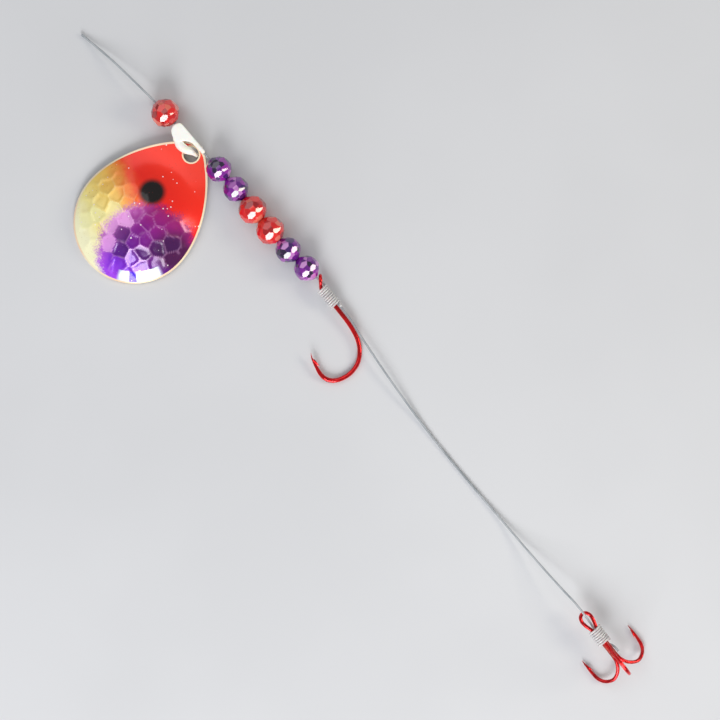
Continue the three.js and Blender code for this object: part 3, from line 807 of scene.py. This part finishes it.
def clevis_moulding(material):
    """The flat body with its catch, softened all over as a moulding is, and bored for the line."""
    plate = mesh_piece("clevis_moulding", clevis_plate(), [material])
    post = swept([at(*point) for point in CLEVIS_POST], CLEVIS_POST_RADII, 16)
    combine(plate, mesh_piece("tool", post, []), "UNION")
    pivot = at(*FINGER_PIVOT, LINE_HEIGHT)
    cap = Vector((0, 0, CLEVIS_THICKNESS / 2 - KNUCKLE_INSET))
    combine(plate, rod(pivot - cap, pivot + cap, KNUCKLE_RADIUS), "UNION")
    remesh = plate.modifiers.new("even", "REMESH")
    remesh.mode = "VOXEL"
    remesh.voxel_size = CLEVIS_GRID
    soften = plate.modifiers.new("soften", "SMOOTH")
    soften.iterations = CLEVIS_SOFTENING
    apply_modifiers(plate)
    start, end = [at(x, y, LINE_HEIGHT) for x, y in CLEVIS_BORE]
    combine(plate, rod(start, end, CLEVIS_BORE_RADIUS))
    plate.data.materials.clear()
    plate.data.materials.append(material)
    shade_smooth(plate.data, 50)
    give(plate, "clevis", "white_nylon", "clevis_body")


FINGER_ROUTE = [
    (0.006, -0.00175, 0.0032), (0.0073, -0.0023, 0.0032), (0.0087, -0.00215, 0.00312),
    (0.0098, -0.00165, 0.00285), (0.0106, -0.00135, 0.0023), (0.01105, -0.00125, 0.0015),
    (0.01132, -0.00095, 0.00078), (0.01135, 0.0001, 0.00062), (0.01105, 0.00085, 0.00062),
]
FINGER_RADII = [
    (0, 0.00095), (0.15, 0.00098), (0.3, 0.00095), (0.45, 0.0008), (0.56, 0.00052), (0.66, 0.00042),
    (0.8, 0.00038), (0.97, 0.00034), (1, 0.00018),
]


def clevis_hook(material):
    """The finger that goes down through the blade's hole and comes back up under its catch."""
    path = even_path(smooth_path([at(*point) for point in FINGER_ROUTE], 24), 0.08 * MM)
    piece = mesh_piece("clevis_hook", swept(path, FINGER_RADII, 28), [material])
    give(piece, None, "white_nylon", "clevis_finger")
    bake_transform(piece)


# ---- spinner blade
BLADE_THICKNESS = 0.6
BLADE_DOME = 5.2
BLADE_ACROSS = 13.4
BLADE_ALONG = 13.65
BLADE_TIP = -2.45
BLADE_TAB_LIFT = 1.25
DOME_STARTS = 2
DOME_FULL = 15
# The blade's finishes, in the order of its materials, and the rings of faces that form its pale rim.
FACE, EDGE, UNDERSIDE = 0, 1, 2
RIM_RINGS = 2
FLAT_PITCH = 3.3
FLAT_DEPTH = 0.16
FLAT_SEED = 11
FLAT_COLUMNS = range(11)
FLAT_ROWS = range(-6, 7)
FLAT_SCATTER = 0.8
FLAT_SLOPE = 0.045
# Painted light on the flats: most take a random level between these two, the lit ones a painted highlight
# and the dim ones painted shade.
PLAIN_SHADES = (0.3, 0.62)
LIT_SHADE = 0.97
DIM_SHADE = 0.04
MIDDLE_SHADE = 0.45
MARKED_REACH = 1.75  # how near a flat's middle must lie to a place below to take its shade
HONEYCOMB = 0.87  # the step between columns, as a share of the pitch
# The hammering and its painted highlights and shade come in over these ranges along the blade, and fade
# out over these ranges towards the edge: shares of the way there, and millimetres from the middle of the
# round.
HAMMERED_ALONG = (11, 16)
HAMMERED_REACH = (0.86, 0.97)
SHADED_ALONG = (13, 17)
SHADED_RADIUS = (11.6, 12.7)
# A flat's pale border is a painted highlight where two flats meet.
BORDER_WIDTH = (0.02, 0.12)  # over which a flat's pale border fades, as shares of the pitch
SHEET_RINGS = 46
RING_CROWDING = 1.15
ROUND_STEPS = 46
RIM_ROUNDING = 0.14
# Flats painted as catching the light, and flats painted as lying in shade: along and across, in millimetres.
LIT_FLATS = [(19.4, -1.1), (23.7, -3.2), (27.6, -0.3), (19.9, -5.5), (24.2, -7.6)]
SHADED_FLATS = [(21.6, 1.1), (24.4, 1.4), (20.2, 9.2), (16.3, 10.4), (23.8, 6.6)]


def smooth_share(value, low, high):
    share = min(1.0, max(0.0, (value - low) / (high - low)))
    return share * share * (3 - 2 * share)


def bezier(points, count):
    """Points along a curve with four handles, without its first one."""
    result = []
    for index in range(1, count + 1):
        u = index / count
        weights = ((1 - u) ** 3, 3 * u * (1 - u) ** 2, 3 * u * u * (1 - u), u ** 3)
        result.append(tuple(sum(w * p[axis] for w, p in zip(weights, points)) for axis in (0, 1)))
    return result


def blade_outline():
    """Once round the blade, in millimetres along and across, from the tip."""
    tip = bezier([(BLADE_TIP, 0), (BLADE_TIP, 1.9), (-1.6, 2.9), (-0.3, 4.1)], 16)
    side = bezier([(-0.3, 4.1), (2.4, 7.3), (10.4, BLADE_ACROSS), (BLADE_MIDDLE, BLADE_ACROSS)], 50)
    half = [(BLADE_TIP, 0.0), *tip, *side]
    for index in range(1, ROUND_STEPS + 1):
        angle = math.pi / 2 * (1 - index / ROUND_STEPS)
        half.append((BLADE_MIDDLE + BLADE_ALONG * math.cos(angle), BLADE_ACROSS * math.sin(angle)))
    return half + [(along, -across) for along, across in reversed(half[1:-1])]


def hammer_flats():
    """Middles of the hammered flats, on a loose honeycomb, each with its slope and its level of painted
    light or shade.
    """
    random_source = random.Random(FLAT_SEED)
    flats = []
    for column in FLAT_COLUMNS:
        for row in FLAT_ROWS:
            along = column * FLAT_PITCH * HONEYCOMB
            across = (row + (column % 2) / 2) * FLAT_PITCH
            along += random_source.uniform(-FLAT_SCATTER, FLAT_SCATTER)
            across += random_source.uniform(-FLAT_SCATTER, FLAT_SCATTER)
            slope = [random_source.uniform(-FLAT_SLOPE, FLAT_SLOPE) for _ in range(2)]
            shade = random_source.uniform(*PLAIN_SHADES)
            if any(math.dist((along, across), lit) < MARKED_REACH for lit in LIT_FLATS):
                shade = LIT_SHADE
            elif any(math.dist((along, across), dim) < MARKED_REACH for dim in SHADED_FLATS):
                shade = DIM_SHADE
            flats.append((along, across, slope, shade))
    return flats


def nearest_flats(flats, along, across):
    """The flat that a point lies in, and how far the point is from its border."""
    ranked = sorted((math.dist((along, across), flat[:2]), index) for index, flat in enumerate(flats))
    return flats[ranked[0][1]], (ranked[1][0] - ranked[0][0]) / FLAT_PITCH


def hammered_height(flats, along, across, reach):
    """How far the hammering moves a point up, in millimetres; the tip and the rim are left smooth."""
    amount = smooth_share(along, *HAMMERED_ALONG) * (1 - smooth_share(reach, *HAMMERED_REACH))
    if amount == 0:
        return 0.0
    (middle_along, middle_across, slope, _), inset = nearest_flats(flats, along, across)
    tilt = slope[0] * (along - middle_along) + slope[1] * (across - middle_across)
    return amount * (tilt - FLAT_DEPTH * smooth_share(inset, 0.0, 0.4))


def sheet_height(along, reach):
    dome = BLADE_DOME * smooth_share(along, DOME_STARTS, DOME_FULL) * (1 - reach * reach)
    far_end = BLADE_MIDDLE + BLADE_ALONG
    return dome + BLADE_TAB_LIFT * (far_end - along) / far_end


def blade_place():
    turn = Matrix.Rotation(math.radians(BLADE_HEADING), 4, "Z")
    return Matrix.Translation(at(*BLADE_HOLE, 0)) @ turn @ Matrix.Scale(MM, 4)


def blade_sheet(flats):
    outline = blade_outline()
    count = len(outline)
    rings = SHEET_RINGS
    painted_side = [EDGE] * RIM_RINGS + [FACE] * (rings - RIM_RINGS)
    vertices = []
    for lift in (0.0, BLADE_THICKNESS):
        for ring in range(rings):
            reach = 1 - (ring / rings) ** RING_CROWDING
            for along, across in outline:
                point = (BLADE_MIDDLE + (along - BLADE_MIDDLE) * reach, across * reach)
                hammered = hammered_height(flats, *point, reach)
                vertices.append(Vector((*point, sheet_height(point[0], reach) + lift + hammered)))
        vertices.append(Vector((BLADE_MIDDLE, 0, sheet_height(BLADE_MIDDLE, 0) + lift)))
    faces = []
    finishes = []
    size = rings * count + 1
    for index in range(count):
        following = (index + 1) % count
        for face in (0, 1):
            start = face * size
            finishes.extend([UNDERSIDE] * rings if face == 0 else painted_side)
            for ring in range(rings - 1):
                quad = (start + ring * count + index, start + ring * count + following,
                        start + (ring + 1) * count + following, start + (ring + 1) * count + index)
                faces.append(quad if face == 0 else tuple(reversed(quad)))
            inner = start + (rings - 1) * count
            fan = (inner + index, inner + following, start + size - 1)
            faces.append(fan if face == 0 else tuple(reversed(fan)))
        faces.append((following, index, size + index, size + following))
        finishes.append(EDGE)
    return (vertices, faces), finishes


def mark_flats(mesh, flats):
    """Writes each point's level of painted light or shade, and its painted highlight border, onto the mesh,
    for the paint.
    """
    shades = mesh.attributes.new("flat_painted_light", "FLOAT", "POINT")
    borders = mesh.attributes.new("flat_border_highlight", "FLOAT", "POINT")
    for vertex in mesh.vertices:
        along, across = vertex.co.x, vertex.co.y
        (_, _, _, shade), inset = nearest_flats(flats, along, across)
        radius = math.hypot(along - BLADE_MIDDLE, across)
        amount = smooth_share(along, *SHADED_ALONG) * (1 - smooth_share(radius, *SHADED_RADIUS))
        shades.data[vertex.index].value = MIDDLE_SHADE + (shade - MIDDLE_SHADE) * amount
        borders.data[vertex.index].value = amount * (1 - smooth_share(inset, *BORDER_WIDTH))


def bare_hole(mesh):
    """Leaves the hole's wall without paint."""
    for polygon in mesh.polygons:
        along, across, _ = polygon.center
        if math.hypot(along, across) < BLADE_HOLE_RADIUS + BLADE_EDGE and abs(polygon.normal.z) < 0.6:
            polygon.material_index = EDGE


def spinner_blade(materials):
    flats = hammer_flats()
    shape, finishes = blade_sheet(flats)
    piece = mesh_piece("hammered_blade", shape, materials)
    piece.data.polygons.foreach_set("material_index", finishes)
    hole = rod(Vector((0, 0, -4)), Vector((0, 0, 8)), BLADE_HOLE_RADIUS, 72)
    combine(piece, hole)
    rounding = piece.modifiers.new("rounding", "BEVEL")
    rounding.width = RIM_ROUNDING
    rounding.segments = 3
    rounding.limit_method = "ANGLE"
    rounding.angle_limit = math.radians(42)
    apply_modifiers(piece)
    mesh = piece.data
    mark_flats(mesh, flats)
    bare_hole(mesh)
    mesh.transform(blade_place())
    shade_smooth(mesh, 50)
    give(piece, "blade", "painted_brass", "spinner_blade")


# ---- hooks
HOOK_BEND = [
    (0.0516, -0.0009), (0.0536, -0.00098), (0.0561, -0.00105), (0.0584, -0.0012),
    (0.0607, -0.00142), (0.0626, -0.00178), (0.0645, -0.00235), (0.0661, -0.00325), (0.0674, -0.00445),
    (0.0684, -0.00595), (0.06885, -0.0077), (0.0688, -0.0095), (0.0682, -0.0114), (0.0672, -0.0127),
    (0.0659, -0.01335), (0.0645, -0.0134), (0.0631, -0.0131), (0.0619, -0.0128), (0.0607, -0.0124),
    (0.0598, -0.01185),
]
HOOK_BARB = [(0.0613, -0.0125), (0.0622, -0.01247), (0.06315, -0.01245)]
HOOK_EYE = (0.04965, 0.00035)
HOOK_EYE_RADIUS = 0.00105
HOOK_EYE_TURN = 140
POINT_RADIUS = 0.02 * MM


def hook_height(x):
    return HOOK_WIRE / 2 + HOOK_SLOPE * (HOOK_BEND_X - x)


def on_hook(x, y):
    return at(x, y, hook_height(x))


def eye_loop():
    """The wire bent round into the eye: from its tucked end, once round, to where the shank starts."""
    turn = math.radians(HOOK_EYE_TURN)
    outward = Vector((math.cos(turn), math.sin(turn), 0))
    points = []
    for degrees in range(-158, 159, 14):
        angle = math.radians(degrees)
        reach = outward * math.cos(angle) + Vector((0, 0, 1)) * math.sin(angle)
        points.append(on_hook(*HOOK_EYE) + reach * HOOK_EYE_RADIUS)
    return points


def front_hook(material):
    """One wire: the eye, the shank, the bend and the point."""
    points = [*eye_loop(), on_hook(0.0508, -0.0006), *[on_hook(*point) for point in HOOK_BEND]]
    path = even_path(smooth_path(points, 16), 0.16 * MM)
    wire = HOOK_WIRE / 2
    stations = [(0, wire * 0.35), (0.03, wire * 0.75), (0.14, wire * 0.78), (0.19, wire), (0.84, wire),
                (0.89, wire * 0.88), (0.945, wire * 0.56), (0.985, wire * 0.2), (1, POINT_RADIUS)]
    barb = even_path(smooth_path([on_hook(*point) for point in HOOK_BARB], 12), 0.1 * MM)
    bar = swept(path, stations, 24)
    spur = swept(barb, [(0, 0.3 * MM), (0.5, 0.22 * MM), (1, 0.03 * MM)], 14)
    piece = mesh_piece("front_hook_wire", together([bar, spur]), [material], 60)
    give(piece, "leader", "red_hook_steel", "front_hook")


def treble_place():
    turn = Matrix.Rotation(math.radians(TREBLE_HEADING), 4, "Z")
    return Matrix.Translation(at(*TREBLE_PLACE)) @ turn


# Along the treble's axis and out from it, from the end of the shank to the point.
TREBLE_BEND = [
    (0.012, 0.0), (0.0132, 0.00022), (0.0145, 0.00095), (0.0155, 0.0021), (0.0161, 0.0036),
    (0.0159, 0.005), (0.0152, 0.0062), (0.014, 0.00695), (0.0124, 0.0072), (0.0106, 0.0073),
    (0.0089, 0.0073),
]
TREBLE_BARB = [(0.0101, 0.00725), (0.011, 0.007), (0.012, 0.00665)]
TREBLE_GAPE = 0.0073
TREBLE_EYE = [(0.0004, 0.0), (0.00075, 0.00075), (0.0016, 0.00116), (0.0027, 0.0011), (0.004, 0.00075),
              (0.0053, 0.0004), (0.008, 0.0004)]
THIRD_WIRE_LIFT = 0.00008
RIGHT, LEFT, UPRIGHT = -30, 210, 90  # which way each hook of the treble leans, in degrees
BRAZE_START = 0.0062
BRAZE_SPACING = 0.0002
BRAZE_STEPS = 31
BRAZE_OUT = 0.44
BRAZE_LUMPS = 15
BRAZE_RADII = (0.2, 0.27)
BRAZE_END_RADIUS = 0.05 * MM
BARB_STATIONS = [(0, 0.0002), (0.5, 0.00016), (1, 0.00003)]


def leaning(degrees, reaches):
    """Points along the treble's axis and out from it, leaning at an angle round it."""
    angle = math.radians(degrees)
    return [Vector((x, math.cos(angle) * out, math.sin(angle) * out)) for x, out in reaches]


def treble_bend(degrees):
    share = 1 - TREBLE_OFFSET / TREBLE_GAPE
    return leaning(degrees, [(x, TREBLE_OFFSET + out * share) for x, out in TREBLE_BEND])


def treble_barb(degrees):
    path = even_path(smooth_path(leaning(degrees, TREBLE_BARB), 12), 0.1 * MM)
    return swept(path, BARB_STATIONS, 12)


def treble_piece(name, shapes, material, node, slot):
    piece = mesh_piece(name, together(shapes), [material], 60)
    piece.data.transform(treble_place())
    give(piece, "tail", slot, node)


def treble_pair(material):
    """One wire: hook, shank, eye, shank, hook."""
    height = -TREBLE_OFFSET / 2
    right = [*[Vector((x, y, height)) for x, y in TREBLE_EYE], *treble_bend(RIGHT)]
    left = [*[Vector((x, -y, height)) for x, y in TREBLE_EYE], *treble_bend(LEFT)]
    path = even_path(smooth_path([*reversed(left), *right[1:]], 14), 0.14 * MM)
    wire = TREBLE_WIRE / 2
    point = [(0, POINT_RADIUS), (0.006, wire * 0.25), (0.045, wire * 0.7), (0.09, wire)]
    stations = [*point, *[(1 - share, radius) for share, radius in reversed(point)]]
    shapes = [swept(path, stations, 20), treble_barb(RIGHT), treble_barb(LEFT)]
    treble_piece("treble_pair_bends", shapes, material, "treble_pair_wire", "red_hook_steel")


def treble_third(material):
    start = [Vector((x, 0, TREBLE_OFFSET)) for x in (0.0054, 0.008)]
    lift = Vector((0, 0, THIRD_WIRE_LIFT))
    path = even_path(smooth_path([point + lift for point in [*start, *treble_bend(UPRIGHT)]], 14), 0.14 * MM)
    wire = TREBLE_WIRE / 2
    stations = [(0, wire * 0.5), (0.015, wire * 0.9), (0.03, wire), (0.83, wire), (0.91, wire * 0.7),
                (0.988, wire * 0.25), (1, POINT_RADIUS)]
    barb_vertices, barb_faces = treble_barb(UPRIGHT)
    barb = ([vertex + lift for vertex in barb_vertices], barb_faces)
    shapes = [swept(path, stations, 20), barb]
    treble_piece("treble_third_bend", shapes, material, "treble_third_wire", "red_hook_steel")


def treble_braze(material, degrees, name, seed):
    """A run of braze that fills one groove, thicker and thinner along it."""
    random_source = random.Random(seed)
    angle = math.radians(degrees)
    outward = Vector((0, math.cos(angle), math.sin(angle)))
    path = [Vector((BRAZE_START + BRAZE_SPACING * step, 0, 0)) + outward * BRAZE_OUT * MM
            for step in range(BRAZE_STEPS)]
    stations = [(0, BRAZE_END_RADIUS)]
    for step in range(1, BRAZE_LUMPS):
        stations.append((step / BRAZE_LUMPS, random_source.uniform(*BRAZE_RADII) * MM))
    stations.append((1, BRAZE_END_RADIUS))
    treble_piece(f"{name}_run", [swept(path, stations, 14)], material, name, "brazing_alloy")


# ---- snells
TURN_STEPS = 28
WRAP_SIDES = 14


def wound_snell(start, end, half_width, half_height, tag):
    """Line wound round a shank and the line beside it, ending in a cut tag where one is given."""
    turns = round((end - start).length / SNELL_PITCH)
    along = (end - start).normalized()
    across = Vector((0, 0, 1)).cross(along).normalized()
    up = along.cross(across)
    steps = turns * TURN_STEPS
    points = []
    for index in range(steps + 1):
        share = index / steps
        angle = 2 * math.pi * turns * share
        points.append(start.lerp(end, share) + across * half_width * math.cos(angle)
                      + up * half_height * math.sin(angle))
    if tag:
        points.extend(smooth_path([points[-1], *tag], 8)[1:])
    path = even_path(points, 0.12 * MM)
    return even_bar(path, LINE_DIAMETER / 2, WRAP_SIDES)


def snells(material):
    start = on_hook(0.0511, -0.00062)
    end = on_hook(0.0559, -0.00084)
    tag = [at(0.05634, 0.00006, 0.0024), at(0.05672, -0.00022, 0.00288)]
    piece = mesh_piece("front_snell_wraps", wound_snell(start, end, 1.12 * MM, 0.9 * MM, tag), [material])
    give(piece, "leader", "clear_line", "front_snell")
    height = TREBLE_PLACE[2] - 0.1 * MM
    start = at(0.1456, -0.00691, height)
    end = at(0.1493, -0.0072, height)
    piece = mesh_piece("rear_snell_wraps", wound_snell(start, end, 1.36 * MM, 1.36 * MM, []), [material])
    give(piece, "tail", "clear_line", "rear_snell")


# ---- the whole scene
def place_floor():
    bpy.ops.mesh.primitive_plane_add(size=3, location=(0, 0, -0.02 * MM))
    floor = bpy.context.active_object
    floor.name = "floor"
    floor.data.materials.append(pale_floor())


def build():
    line = clear_nylon()
    leader_cord(line)
    tail_cord(line)
    beads(red_acrylic(), purple_acrylic())
    white = white_nylon()
    clevis_moulding(white)
    clevis_hook(white)
    spinner_blade([painted_face(), blade_edge(), bare_brass()])
    steel = red_lacquered_steel()
    front_hook(steel)
    treble_pair(steel)
    treble_third(steel)
    braze = lacquered_braze()
    treble_braze(braze, 30, "treble_braze_right", 5)
    treble_braze(braze, 150, "treble_braze_left", 6)
    snells(knotted_nylon())


place_camera()
place_lights()
place_floor()
build()
bpy.context.scene.view_settings.view_transform = "Standard"
